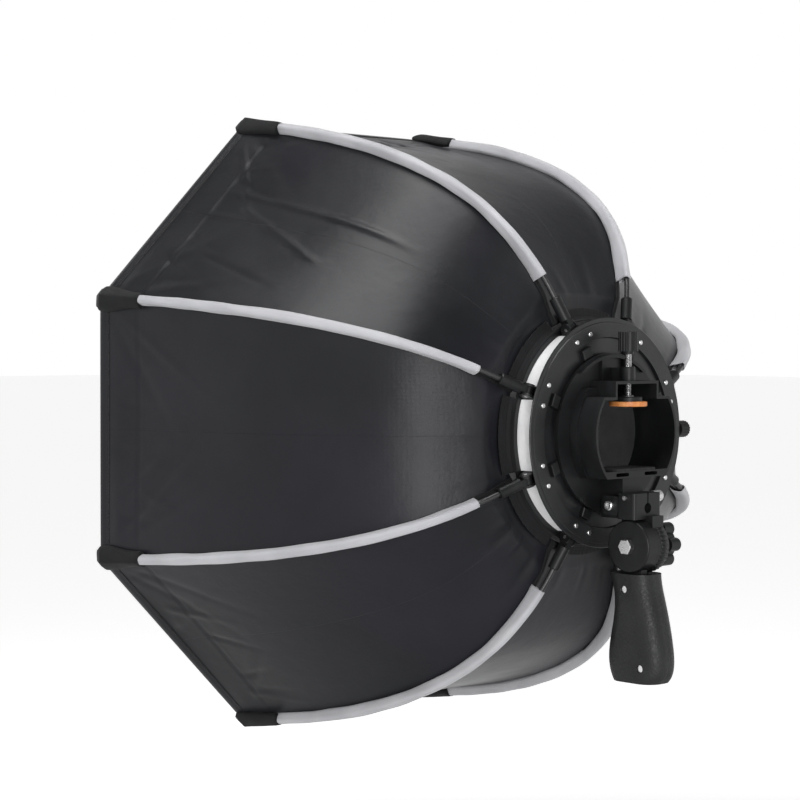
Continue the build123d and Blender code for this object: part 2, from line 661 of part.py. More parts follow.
with BuildPart() as clamp_foot:
    with BuildSketch(clamp_plane(FOOT_TOP - FOOT_T)):
        Circle(FOOT_R)
    extrude(amount=FOOT_T)
    chamfer(clamp_foot.faces().sort_by(Axis.Z)[-1].edges(), EDGE)
    with BuildSketch(clamp_plane(FOOT_TOP - FOOT_SOCKET)):
        Circle(CLAMP_SCREW_R + RUN_FIT)
    extrude(amount=FOOT_SOCKET, mode=Mode.SUBTRACT)
save(clamp_foot.part, "clamp_foot")

with BuildPart() as clamp_pad:
    with BuildSketch(clamp_plane(FOOT_TOP - FOOT_T - CLAMP_PAD_T)):
        Circle(CLAMP_PAD_R)
    extrude(amount=CLAMP_PAD_T)
    fillet(clamp_pad.faces().sort_by(Axis.Z)[0].edges(), CLAMP_PAD_ROUND)
    chamfer(clamp_pad.faces().sort_by(Axis.Z)[-1].edges(), CLAMP_PAD_EDGE)
save(clamp_pad.part, "clamp_pad")

# ---------------------------------------------------------------- tilt head
HEAD_DISC_X = DISC_X - FACE_GAP - HEAD_DISC_T
HOUSING_FLOOR_Z = AXIS_Z + FLOOR_Z - FLOOR_T
HEAD_FRONT_Y = FLANGE_REAR_Y + BACK_PLATE_T + STATIC_FIT

with BuildPart() as tilt_head:
    with BuildSketch(level(HEAD_LOW_Z)):
        with Locations((0, (HEAD_REAR_Y + HEAD_MID_Y) / 2)):
            RectangleRounded(2 * HEAD_HALF, HEAD_REAR_Y - HEAD_MID_Y, HEAD_CORNER)
    extrude(amount=HEAD_TOP_Z - HEAD_LOW_Z)
    with BuildSketch(level(HEAD_LOW_Z)):
        with Locations((0, (HEAD_MID_Y + HEAD_CORNER + HEAD_FRONT_Y) / 2)):
            Rectangle(2 * WEB_HALF, HEAD_MID_Y + HEAD_CORNER - HEAD_FRONT_Y)
    extrude(amount=HOUSING_FLOOR_Z - HEAD_LOW_Z)
    with BuildSketch(side(WEB_HALF)):
        with Locations(SIDE_BOLT_PLACE):
            RectangleRounded(*SIDE_BOSS_SIZE, SIDE_BOSS_CORNER)
    extrude(amount=SIDE_BOSS_T)
    with BuildSketch(side(HEAD_DISC_X)):
        with Locations((PIVOT_Y, PIVOT_Z)):
            Circle(DISC_R)
        with Locations((NECK_Y, (PIVOT_Z + HEAD_LOW_Z + HEAD_CORNER) / 2)):
            Rectangle(NECK_DEPTH, HEAD_LOW_Z + HEAD_CORNER - PIVOT_Z)
    extrude(amount=HEAD_DISC_T)
    with BuildSketch(side(HEAD_DISC_X - CUT_OVER)):
        with Locations((PIVOT_Y, PIVOT_Z)):
            Circle(BOLT_R + RUN_FIT)
    extrude(amount=HEAD_DISC_T + 2 * CUT_OVER, mode=Mode.SUBTRACT)
    with BuildSketch(across(HEAD_REAR_Y + CUT_OVER, 0)):
        with Locations((0, UMBRELLA_Z)):
            Circle(UMBRELLA_R)
        with Locations((0, (UMBRELLA_Z + HEAD_TOP_Z + CUT_OVER) / 2)):
            Rectangle(SLOT_T, HEAD_TOP_Z + CUT_OVER - UMBRELLA_Z)
    extrude(amount=HEAD_REAR_Y + CUT_OVER - HEAD_MID_Y - HEAD_CORNER, mode=Mode.SUBTRACT)
    with BuildSketch(across(HEAD_REAR_Y + CUT_OVER, 0)):
        with Locations((0, UMBRELLA_Z)):
            Circle(UMBRELLA_R)
    extrude(amount=HEAD_REAR_Y + 2 * CUT_OVER - HEAD_FRONT_Y, mode=Mode.SUBTRACT)
    with BuildSketch(side(-HEAD_HALF - CUT_OVER)):
        with Locations((PINCH_Y, PINCH_Z)):
            Circle(PINCH_R + RUN_FIT)
    extrude(amount=2 * HEAD_HALF + 2 * CUT_OVER, mode=Mode.SUBTRACT)
    with BuildSketch(side(WEB_HALF + SIDE_BOSS_T)):
        with Locations(SIDE_BOLT_PLACE):
            Circle(SIDE_BOLT_R + STATIC_FIT)
    extrude(amount=-SIDE_BOLT_LENGTH - CUT_OVER, mode=Mode.SUBTRACT)
save(tilt_head.part, "tilt_head")

with BuildPart() as side_bolt:
    with BuildSketch(side(WEB_HALF + SIDE_BOSS_T)):
        with Locations(SIDE_BOLT_PLACE):
            Circle(SIDE_BOLT_HEAD_R)
    extrude(amount=SIDE_BOLT_HEAD_T)
    chamfer(side_bolt.faces().sort_by(Axis.X)[-1].edges(), EDGE)
    with BuildSketch(side(WEB_HALF + SIDE_BOSS_T + SIDE_BOLT_HEAD_T)):
        with Locations(SIDE_BOLT_PLACE):
            RegularPolygon(HEX_KEY_R, HEX_SIDES)
    extrude(amount=-HEX_KEY_DEPTH, mode=Mode.SUBTRACT)
    with BuildSketch(side(WEB_HALF + SIDE_BOSS_T)):
        with Locations(SIDE_BOLT_PLACE):
            Circle(SIDE_BOLT_R)
    extrude(amount=-SIDE_BOLT_LENGTH)
save(side_bolt.part, "side_bolt")

with BuildPart() as umbrella_screw:
    with BuildSketch(side(HEAD_HALF + PINCH_TIP)):
        with Locations((PINCH_Y, PINCH_Z)):
            Circle(PINCH_R)
    extrude(amount=-2 * HEAD_HALF - PINCH_TIP - PINCH_KNOB_GAP)
    with BuildSketch(side(-HEAD_HALF - PINCH_KNOB_GAP)):
        with Locations((PINCH_Y, PINCH_Z)):
            Circle(PINCH_KNOB_R)
            with PolarLocations(PINCH_KNOB_R + PINCH_FLUTE_OUT, FLUTES):
                Circle(PINCH_FLUTE_R, mode=Mode.SUBTRACT)
    extrude(amount=-PINCH_KNOB_T)
save(umbrella_screw.part, "umbrella_screw")

# ---------------------------------------------------------------- tilt bolt and star knob
STAR_REAR_X = HEAD_DISC_X - 2 * FACE_GAP - WASHER_T
BOLT_END_X = STAR_REAR_X - STAR_HUB_T - STAR_T + STAR_CAP_T

with BuildPart() as tilt_bolt:
    with BuildSketch(side(DISC_X + DISC_T)):
        with Locations((PIVOT_Y, PIVOT_Z)):
            RegularPolygon(CAP_FLATS / 2, HEX_SIDES, major_radius=False)
    extrude(amount=CAP_T)
    chamfer(tilt_bolt.faces().sort_by(Axis.X)[-1].edges(), EDGE)
    with BuildSketch(side(DISC_X + DISC_T)):
        with Locations((PIVOT_Y, PIVOT_Z)):
            Circle(BOLT_R)
    extrude(amount=BOLT_END_X - DISC_X - DISC_T)
save(tilt_bolt.part, "tilt_bolt")

with BuildPart() as tilt_washer:
    with BuildSketch(side(HEAD_DISC_X - FACE_GAP)):
        with Locations((PIVOT_Y, PIVOT_Z)):
            Circle(WASHER_R)
            Circle(BOLT_R + STATIC_FIT, mode=Mode.SUBTRACT)
    extrude(amount=-WASHER_T)
save(tilt_washer.part, "tilt_washer")

with BuildPart() as tilt_knob:
    with BuildSketch(side(STAR_REAR_X)):
        with Locations((PIVOT_Y, PIVOT_Z)):
            Circle(STAR_HUB_R)
    extrude(amount=-STAR_HUB_T)
    with BuildSketch(side(STAR_REAR_X - STAR_HUB_T)):
        with Locations((PIVOT_Y, PIVOT_Z)):
            Circle(STAR_WEB_R)
            with PolarLocations(STAR_R - STAR_LOBE_R, STAR_LOBES):
                Circle(STAR_LOBE_R)
    extrude(amount=-STAR_T)
    fillet(tilt_knob.faces().sort_by(Axis.X)[0].edges(), STAR_ROUND)
    with BuildSketch(side(STAR_REAR_X + CUT_OVER)):
        with Locations((PIVOT_Y, PIVOT_Z)):
            Circle(BOLT_R + RUN_FIT)
    extrude(amount=BOLT_END_X - STAR_REAR_X - CUT_OVER - STATIC_FIT, mode=Mode.SUBTRACT)
save(tilt_knob.part, "tilt_knob")

# ---------------------------------------------------------------- grip
with BuildPart() as grip_frame:
    with BuildSketch(side(DISC_X)):
        with Locations((PIVOT_Y, PIVOT_Z)):
            Circle(DISC_R)
    extrude(amount=DISC_T)
    fillet(grip_frame.faces().sort_by(Axis.X)[-1].edges(), FRAME_ROUND)
    tang_middle = (TANG_Y[0] + TANG_Y[1]) / 2
    with BuildSketch(side(DISC_X)):
        with Locations((tang_middle, (TANG_LOW_Z + PIVOT_Z) / 2)):
            Rectangle(TANG_Y[1] - TANG_Y[0], PIVOT_Z - TANG_LOW_Z)
    extrude(amount=TANG_T)
    with BuildSketch(side(DISC_X - CUT_OVER)):
        with Locations((PIVOT_Y, PIVOT_Z)):
            Circle(BOLT_R + STATIC_FIT)
    extrude(amount=DISC_T + 2 * CUT_OVER, mode=Mode.SUBTRACT)
save(grip_frame.part, "grip_frame")

for name, turn in (("left", -1), ("right", 1)):
    with BuildPart() as grip_shell:
        for height, depth, centre in GRIP_SECTIONS:
            with BuildSketch(level(height)):
                with Locations((0, centre)):
                    RectangleRounded(2 * GRIP_HALF, depth, GRIP_CORNER)
        loft()
        split(bisect_by=side(turn * STATIC_FIT / 2), keep=Keep.TOP if turn > 0 else Keep.BOTTOM)
        with BuildSketch(side(DISC_X - STATIC_FIT)):
            with Locations((tang_middle, (TANG_LOW_Z + GRIP_TOP_Z) / 2)):
                Rectangle(
                    TANG_Y[1] - TANG_Y[0] + 2 * STATIC_FIT,
                    GRIP_TOP_Z - TANG_LOW_Z + 2 * STATIC_FIT,
                )
        extrude(amount=TANG_T + 2 * STATIC_FIT, mode=Mode.SUBTRACT)
        with BuildSketch(level(-CUT_OVER)):
            Circle(INSERT_R + STATIC_FIT)
        extrude(amount=TRIPOD_LENGTH + CUT_OVER + STATIC_FIT, mode=Mode.SUBTRACT)
        for place in GRIP_SCREW_PLACES:
            with BuildSketch(side(GRIP_HALF + CUT_OVER)):
                with Locations(place):
                    Circle(GRIP_SCREW_HEAD_R + GRIP_SCREW_ROOM)
            extrude(amount=-CUT_OVER - GRIP_SCREW_SINK, mode=Mode.SUBTRACT)
    save(grip_shell.part, f"grip_shell_{name}")

with BuildPart() as grip_screws:
    for place in GRIP_SCREW_PLACES:
        with BuildSketch(side(GRIP_HALF - GRIP_SCREW_SINK)):
            with Locations(place):
                Circle(GRIP_SCREW_HEAD_R)
        extrude(amount=GRIP_SCREW_HEAD_T)
save(grip_screws.part, "grip_screws")

with BuildPart() as thread_insert:
    with BuildSketch(level(0)):
        Circle(INSERT_R)
        Circle(TRIPOD_R, mode=Mode.SUBTRACT)
    extrude(amount=TRIPOD_LENGTH)
save(thread_insert.part, "thread_insert")
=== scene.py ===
# %% [markdown]
# # Studio softbox, looks
# An eight-sided folding softbox with its pistol-grip bracket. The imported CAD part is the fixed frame:
# the hub, ribs, bracket and grip are its own nodes, and the cloth is built here around them.
# Axes: X to the side, -Y towards the subject, +Z up. Lengths below are in millimetres and become
# metres when they enter Blender: in a mesh, a material, the lights and the camera.

import bpy
import numpy as np
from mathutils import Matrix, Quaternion, Vector


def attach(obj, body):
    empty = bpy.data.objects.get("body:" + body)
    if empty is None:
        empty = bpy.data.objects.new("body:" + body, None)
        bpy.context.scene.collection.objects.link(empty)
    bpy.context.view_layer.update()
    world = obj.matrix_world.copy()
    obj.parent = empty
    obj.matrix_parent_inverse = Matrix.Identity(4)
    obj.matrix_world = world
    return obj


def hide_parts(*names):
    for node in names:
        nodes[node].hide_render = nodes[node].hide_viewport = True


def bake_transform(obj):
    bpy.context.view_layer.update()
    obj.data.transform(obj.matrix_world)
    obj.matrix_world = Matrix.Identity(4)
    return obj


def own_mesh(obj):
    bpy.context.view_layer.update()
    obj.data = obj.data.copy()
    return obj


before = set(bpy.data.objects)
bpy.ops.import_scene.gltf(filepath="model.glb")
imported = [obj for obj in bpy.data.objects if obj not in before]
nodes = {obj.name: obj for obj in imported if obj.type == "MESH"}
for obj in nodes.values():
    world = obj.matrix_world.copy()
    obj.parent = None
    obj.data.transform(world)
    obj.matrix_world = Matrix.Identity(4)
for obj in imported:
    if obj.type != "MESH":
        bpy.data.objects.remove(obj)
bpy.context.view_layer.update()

# %% [markdown]
# ## Sizes
# Everything soft hangs on the ribs, so their line comes first. It is the one the CAD ribs follow:
# 35 mm of straight rod out of the socket, leaning forward, and then one cubic curve to the corner of
# the mouth. A cubic needs only two handles, so two lengths and two slopes say all there is to it.

# %%
MM = 0.001
RIBS = 8
AXIS_Z = 224.0  # height of the optical axis
HALF = np.pi / RIBS  # half the angle between two ribs
FIRST = HALF  # angle of the first rib
CORNER_R, FRONT_Y = 325.0, -413.0  # the mouth's corners
HINGE_R, HINGE_Y = 104.0, -53.0  # the ribs' hinges
LEAN, TIP_LEAN = np.radians(16.0), np.radians(14.6)  # the rib's slope at its two ends
STRAIGHT, BOW_1, BOW_2 = 35.0, 168.0, 50.0  # straight stretch, then the two handles of the curve
PAST_TIP = 20.0  # how far the rib line runs on past the tip
RUN_POINTS = 400  # points on a line that is measured along its length


def turned(k):
    """The angle of rib k about the optical axis."""
    return FIRST + (k - 1) * 2 * HALF


def rib_curve(t):
    """Radius and Y of the rib's centre line, t from 0 at the hinge to 1 at the tip, and its length.

    The first part is straight along the lean direction, the rest is a cubic whose two handles
    leave the straight part and arrive at the tip leaning inwards; t is the share of the length,
    and a t past 1 runs straight on from the tip.
    """
    lean = np.array([np.cos(LEAN), -np.sin(LEAN)])
    hinge = np.array([HINGE_R, HINGE_Y])
    tip = np.array([CORNER_R, FRONT_Y])
    p0 = hinge + STRAIGHT * lean
    p1 = p0 + BOW_1 * lean
    p2 = tip + BOW_2 * np.array([-np.sin(TIP_LEAN), np.cos(TIP_LEAN)])
    b = np.linspace(0, 1, RUN_POINTS)[:, None]
    bow = (1 - b) ** 3 * p0 + 3 * (1 - b) ** 2 * b * p1 + 3 * (1 - b) * b**2 * p2 + b**3 * tip
    past_tip = tip + PAST_TIP * np.array([np.sin(TIP_LEAN), -np.cos(TIP_LEAN)])
    line = np.vstack([hinge, bow, past_tip])
    run = np.r_[0, np.cumsum(np.linalg.norm(np.diff(line, axis=0), axis=1))]
    at = np.asarray(t, float) * run[-2]
    return np.interp(at, run, line[:, 0]), np.interp(at, run, line[:, 1]), run[-2]


def normals_2d(r, y):
    """Outward unit normal in the (radius, Y) plane of a line given from hub to mouth."""
    dr, dy = np.gradient(r), np.gradient(y)
    size = np.hypot(dr, dy)
    return -dy / size, dr / size


def smooth(x, low, high):
    """0 below low, 1 above high, and a smooth step between."""
    t = np.clip((x - low) / (high - low), 0, 1)
    return t * t * (3 - 2 * t)


RIB_LENGTH = rib_curve(0)[2]
print("rib length", round(RIB_LENGTH, 1), "mm")

# %% [markdown]
# ## Making meshes
# A cloth could be modelled by hand or draped by simulation. Here it is held stretched, so its shape
# follows from the ribs, and each new piece is a grid of points worked out in one go. `surface` turns
# the grid into quads and gives it a UV map measured in metres, so hems and seams can be drawn at
# their real width. A Solidify modifier then gives the cloth its thickness.

# %%


def surface(name, points, uv=None, wrap=False, caps=(False, False), flip=False):
    """A mesh from a (rows, columns, 3) grid in millimetres.

    wrap joins the last column to the first; caps closes the first or last row with one face.
    """
    rows, cols = points.shape[:2]
    grid = np.arange(rows * cols).reshape(rows, cols)
    right = np.roll(grid, -1, axis=1) if wrap else grid[:, 1:]
    left = grid if wrap else grid[:, :-1]
    quads = np.stack([left[:-1], right[:-1], right[1:], left[1:]], axis=-1).reshape(-1, 4)
    faces = (quads[:, ::-1] if flip else quads).tolist()
    ends = [grid[0][::-1], grid[-1]]
    faces += [(e[::-1] if flip else e).tolist() for e, on in zip(ends, caps) if on]
    mesh = bpy.data.meshes.new(name)
    mesh.from_pydata((points.reshape(-1, 3) * MM).tolist(), [], faces)
    mesh.update()
    mesh.polygons.foreach_set("use_smooth", np.ones(len(mesh.polygons), bool))
    if uv is not None:
        layer = mesh.uv_layers.new(name="UVMap")
        index = np.empty(len(mesh.loops), int)
        mesh.loops.foreach_get("vertex_index", index)
        layer.data.foreach_set("uv", (uv.reshape(-1, 2)[index] * MM).ravel())
    obj = bpy.data.objects.new(name, mesh)
    bpy.context.scene.collection.objects.link(obj)
    return obj


def around(radial, y, tangential, angle):
    """Points from radius, Y and sideways distance, turned to an angle about the optical axis."""
    x = radial * np.cos(angle) - tangential * np.sin(angle)
    z = AXIS_Z + radial * np.sin(angle) + tangential * np.cos(angle)
    return np.stack(np.broadcast_arrays(x, y, z), axis=-1)


def solidify(obj, thickness, offset=-1.0, inner_slot=0, rim_slot=0):
    """Gives a cloth its thickness, with another material on the inside when asked."""
    mod = obj.modifiers.new("thickness", "SOLIDIFY")
    mod.thickness, mod.offset = thickness * MM, offset
    mod.material_offset, mod.material_offset_rim = inner_slot, rim_slot
    mod.use_quality_normals = True


print("mesh tools ready")

# %% [markdown]
# ## Shader maths
# `Shade` wraps one shader output, so that textures can be mixed with ordinary arithmetic: an
# expression such as `1 - mask * 0.5` adds its Math nodes. Any other node comes from `make`.

# %%


class Shade:
    """A shader output that adds, subtracts and multiplies like a number."""

    def __init__(self, tree, out=None):
        self.tree, self.out = tree, out

    def make(self, kind, settings=None, out=0, **inputs):
        """A new node of this kind, its settings first and then its inputs, by name."""
        node = self.tree.nodes.new(kind)
        for key, value in (settings or {}).items():
            setattr(node, key, value)
        for key, value in inputs.items():
            key = key.replace("_", " ")
            socket = node.inputs[int(key)] if key.isdigit() else node.inputs[key]
            self.feed(socket, value)
        return Shade(self.tree, node.outputs[out])

    def feed(self, socket, value):
        """Links a shade, or sets a plain value, on an input socket."""
        if isinstance(value, Shade):
            self.tree.links.new(value.out, socket)
        else:
            socket.default_value = value

    def math(self, operation, a, b=0.0):
        node = self.tree.nodes.new("ShaderNodeMath")
        node.operation = operation
        self.feed(node.inputs[0], a)
        self.feed(node.inputs[1], b)
        return Shade(self.tree, node.outputs[0])

    def sine(self):
        return self.math("SINE", self)

    def absolute(self):
        return self.math("ABSOLUTE", self)

    def root(self):
        return self.math("SQRT", self)

    def __add__(self, other):
        return self.math("ADD", self, other)

    def __sub__(self, other):
        return self.math("SUBTRACT", self, other)

    def __rsub__(self, other):
        return self.math("SUBTRACT", other, self)

    def __mul__(self, other):
        return self.math("MULTIPLY", self, other)

    __radd__, __rmul__ = __add__, __mul__

    def ramp(self, low, high, start=0.0, end=1.0):
        """start below low and end above high, smooth between."""
        return self.make(
            "ShaderNodeMapRange", {"interpolation_type": "SMOOTHSTEP"}, Value=self,
            From_Min=low, From_Max=high, To_Min=start, To_Max=end,
        )

    def colours(self, first, second):
        """first where this is 0 and second where it is 1."""
        return self.make(
            "ShaderNodeMix", {"data_type": "RGBA"}, out=2, **{"0": self, "6": first, "7": second}
        )

    def noise(self, at, scale, detail=3.0, roughness=0.5):
        return self.make(
            "ShaderNodeTexNoise", Vector=at, Scale=scale, Detail=detail, Roughness=roughness
        )

    def split(self):
        """The X, Y and Z parts."""
        node = self.tree.nodes.new("ShaderNodeSeparateXYZ")
        self.feed(node.inputs[0], self)
        return [Shade(self.tree, o) for o in node.outputs]

    def stretched(self, x, y, z):
        """The position, with each direction scaled."""
        return self.make("ShaderNodeMapping", Vector=self, Scale=(x, y, z))


def rgb(r, g, b):
    return (r, g, b, 1.0)


def material(name, paint, **fixed):
    """A principled material. paint(shade, place) gives the inputs that vary; fixed sets the rest.

    An input named Height is a bump's height, strength and distance.
    """
    mat = bpy.data.materials.new(name)
    mat.use_nodes = True
    tree = mat.node_tree
    shader = tree.nodes["Principled BSDF"]
    shade = Shade(tree)
    place = shade.make("ShaderNodeTexCoord", out="Object")
    for key, value in fixed.items():
        shader.inputs[key.replace("_", " ")].default_value = value
    for key, value in paint(shade, place).items():
        key = key.replace("_", " ")
        if key == "Height":
            height, strength, distance = value
            bump = shade.make("ShaderNodeBump", Height=height, Strength=strength, Distance=distance)
            shade.feed(shader.inputs["Normal"], bump)
        else:
            shade.feed(shader.inputs[key], value)
    return mat


print("shader tools ready")

# %% [markdown]
# ## Materials
# Black coated nylon outside and silver lining inside, light grey rod sleeves, white diffusion cloth,
# satin moulded plastic with mould marks, bright screws and so on. Each could have been a picture
# wrapped round the piece, but a pattern worked out from the position on the piece, or from its own
# UV map, has no seams and stays sharp close up. Scales are waves or cells to the metre.

# %%
STITCH = (0.0016, 0.0066)  # the two rows of stitches, behind the mouth's edge
RING_LINES = (0.088, 0.1005)  # the ring's turned lines run between these radii
PITCH_WAVE = 2000 * np.pi  # a sine over a thread of 1 mm pitch


def uv_of(shade):
    return shade.make("ShaderNodeUVMap", {"uv_map": "UVMap"}).split()


def nylon(shade, place):
    """Weave of crossing threads, large soft blotches of sheen, and stitches along the hem."""
    u, v, _ = uv_of(shade)
    weave = (u * 5200.0).sine() + (v * 5200.0).sine()
    blotch = shade.noise(place, 9.0, 4.0, 0.55)
    cool = shade.noise(place, 4.0, 2.0)
    dark = cool.ramp(0.42, 0.62).colours(rgb(0.0065, 0.007, 0.0085), rgb(0.007, 0.007, 0.0105))
    light = cool.ramp(0.42, 0.62).colours(rgb(0.0105, 0.011, 0.0135), rgb(0.011, 0.011, 0.016))
    dash = (u * 2100.0).sine().ramp(-0.2, 0.2)
    threads = [1.0 - (v - line).absolute().ramp(0.0003, 0.0007) for line in STITCH]
    thread = (threads[0] + threads[1]) * dash
    crinkle = shade.noise(place, 55.0, 5.0, 0.6)
    return {
        "Base_Color": blotch.ramp(0.3, 0.75).colours(dark, light),
        "Roughness": blotch.ramp(0.25, 0.8, 0.3, 0.42) + thread * 0.1,
        "Height": (weave * 0.00002 + crinkle * 0.0006 - thread * 0.0004, 0.6, 1.0),
    }


def silver(shade, place):
    """Silver coated lining: fine grain and soft creases, with painted shade in their hollows."""
    grain = shade.noise(place, 900.0, 2.0)
    crease_and_painted_shade = shade.noise(place, 24.0, 5.0, 0.6)
    return {
        # painted shade: the colour is darker where the crease is low
        "Base_Color": crease_and_painted_shade.ramp(0.3, 0.7).colours(rgb(0.62, 0.62, 0.64), rgb(0.76, 0.76, 0.78)),
        "Roughness": grain.ramp(0.3, 0.7, 0.28, 0.4),
        "Height": (crease_and_painted_shade * 0.002 + grain * 0.0001, 0.5, 1.0),
    }


def satin_tape(shade, place):
    """Light grey sleeve tape: a fine rib along it and grey soiling."""
    u, v, _ = uv_of(shade)
    soil = shade.noise(place, 16.0, 4.0)
    rib, weft = (u * 6000.0).sine(), (v * 3600.0).sine()
    return {
        "Base_Color": soil.ramp(0.3, 0.75).colours(rgb(0.36, 0.36, 0.38), rgb(0.46, 0.46, 0.48)),
        "Roughness": soil.ramp(0.3, 0.7, 0.62, 0.74),
        "Height": (rib * 0.00003 + weft * 0.00003 + soil * 0.0004, 0.5, 1.0),
    }


def webbing(shade, place):
    """Black woven pocket and binding cloth with a coarse twill."""
    x, y, z = place.split()
    twill, cross = ((x + y + z) * 3100.0).sine(), ((x - y + z) * 3100.0).sine()
    wear = shade.noise(place, 60.0, 3.0)
    return {
        "Base_Color": wear.ramp(0.35, 0.75).colours(rgb(0.0042, 0.0044, 0.005), rgb(0.0088, 0.0091, 0.0102)),
        "Roughness": wear.ramp(0.3, 0.7, 0.6, 0.78),
        "Height": (twill * cross * 0.00012 + wear * 0.0002, 0.7, 1.0),
    }


def diffusion(shade, place):
    """White translucent cloth with a fine square weave and faint creases, with painted shade in their
    hollows.
    """
    x, _, z = place.split()
    weave = (x * 4200.0).sine() * (z * 4200.0).sine()
    crease_and_painted_shade = shade.noise(place, 7.0, 4.0)
    return {
        # painted shade: the colour is darker where the crease is low
        "Base_Color": crease_and_painted_shade.ramp(0.3, 0.7).colours(rgb(0.80, 0.80, 0.79), rgb(0.90, 0.90, 0.89)),
        "Roughness": crease_and_painted_shade.ramp(0.3, 0.7, 0.72, 0.82),
        "Height": (weave * 0.00003 + crease_and_painted_shade * 0.003, 0.5, 1.0),
    }


def moulded(shade, place):
    """Satin black moulding: fine spark texture, flow marks and slightly shinier worn patches."""
    spark = shade.noise(place, 1500.0, 2.0, 0.6)
    flow = shade.noise(place.stretched(1.0, 2.5, 1.0), 22.0, 3.0)
    return {
        "Base_Color": flow.ramp(0.35, 0.7).colours(rgb(0.0055, 0.0058, 0.0063), rgb(0.0105, 0.011, 0.0118)),
        "Roughness": flow.ramp(0.3, 0.75, 0.33, 0.44) + spark * 0.05,
        "Height": (spark * 0.00008, 0.4, 1.0),
    }


def ring_moulding(shade, place):
    """The hub's ring: moulded plastic with fine turned lines around the optical axis."""
    x, _, z = place.split()
    up = z - AXIS_Z * MM
    radius = (x * x + up * up).root()
    lines = (radius * 5200.0).sine().ramp(0.55, 0.95)
    inner, rim = RING_LINES
    band = radius.ramp(inner - 0.0005, inner + 0.0005) * (1.0 - radius.ramp(rim - 0.0005, rim + 0.0005))
    flow = shade.noise(place, 30.0, 3.0)
    spark = shade.noise(place, 1500.0, 2.0, 0.6)
    return {
        "Base_Color": flow.ramp(0.35, 0.7).colours(rgb(0.006, 0.0063, 0.007), rgb(0.0115, 0.012, 0.013)),
        "Roughness": flow.ramp(0.3, 0.75, 0.26, 0.38) + spark * 0.05,
        "Height": (lines * band * 0.0002 + spark * 0.00006, 0.5, 1.0),
    }


def grained(shade, place):
    """Leather-like grip plastic: cells of a soft grain, shinier on the high spots."""
    cells = shade.make("ShaderNodeTexVoronoi", {"feature": "SMOOTH_F1"}, Vector=place, Scale=520.0)
    broad = shade.noise(place, 40.0, 3.0)
    return {
        "Base_Color": broad.ramp(0.3, 0.75).colours(rgb(0.009, 0.0093, 0.0098), rgb(0.0165, 0.017, 0.0175)),
        "Roughness": cells.ramp(0.1, 0.6, 0.34, 0.5) + broad * 0.06,
        "Height": (cells * 0.0005 + broad * 0.0003, 0.55, 1.0),
    }


def brushed(shade, place):
    """Bright screws: fine scratches over a soft grey."""
    scratch = shade.noise(place.stretched(1.0, 1.0, 12.0), 900.0, 3.0)
    return {
        "Base_Color": scratch.ramp(0.3, 0.7).colours(rgb(0.55, 0.55, 0.55), rgb(0.82, 0.82, 0.82)),
        "Roughness": scratch.ramp(0.3, 0.7, 0.2, 0.38),
        "Height": (scratch * 0.00005, 0.4, 1.0),
    }


def thread_with_painted_shade(shade, place):
    """A bright screw seen from the side: its thread of 1 mm pitch along Z, with painted shade in its
    grooves.
    """
    _, _, z = place.split()
    thread = (z * PITCH_WAVE).sine()
    scratch = shade.noise(place, 700.0, 3.0)
    return {
        # painted shade: the colour drops from bright to dark grey at the bottom of each groove
        "Base_Color": thread.ramp(-0.9, 0.6).colours(rgb(0.28, 0.28, 0.28), rgb(0.85, 0.85, 0.85)),
        "Roughness": scratch.ramp(0.3, 0.7, 0.2, 0.36),
        "Height": (thread * 0.0003, 0.6, 1.0),
    }


def coated_rod(shade, place):
    """Black coated spring rod with faint drawing lines and small chips."""
    line = shade.noise(place.stretched(1.0, 0.1, 1.0), 1800.0, 2.0)
    return {
        "Base_Color": line.ramp(0.4, 0.8).colours(rgb(0.010, 0.010, 0.011), rgb(0.03, 0.03, 0.032)),
        "Roughness": line.ramp(0.3, 0.7, 0.28, 0.42),
        "Height": (line * 0.00004, 0.4, 1.0),
    }


def white_band(shade, place):
    """White reflective strip of tiny beads in a diamond pattern."""
    beads = shade.make("ShaderNodeTexVoronoi", {"feature": "F1"}, Vector=place, Scale=900.0)
    soil = shade.noise(place, 35.0, 3.0)
    return {
        "Base_Color": soil.ramp(0.25, 0.75).colours(rgb(0.74, 0.74, 0.75), rgb(0.9, 0.9, 0.9)),
        "Roughness": beads.ramp(0.0, 0.8, 0.3, 0.55),
        "Height": (beads * 0.0002, 0.4, 1.0),
    }


def orange_rubber(shade, place):
    """Orange pad rubber, paler at the scuffed rim."""
    scuff = shade.noise(place, 120.0, 4.0)
    return {
        "Base_Color": scuff.ramp(0.35, 0.75).colours(rgb(0.50, 0.16, 0.035), rgb(0.68, 0.30, 0.10)),
        "Roughness": scuff.ramp(0.3, 0.7, 0.42, 0.6),
        "Height": (scuff * 0.0003, 0.5, 1.0),
    }


def hook_loop(shade, place):
    """Black hook-and-loop tape: rows of tiny loops."""
    loops = shade.make("ShaderNodeTexVoronoi", {"feature": "F1"}, Vector=place, Scale=700.0)
    rows = shade.noise(place, 300.0, 2.0)
    return {
        "Base_Color": loops.ramp(0.1, 0.7).colours(rgb(0.022, 0.022, 0.023), rgb(0.007, 0.007, 0.008)),
        "Roughness": rows.ramp(0.3, 0.7, 0.8, 0.95),
        "Height": (loops * 0.0012, 0.8, 1.0),
    }


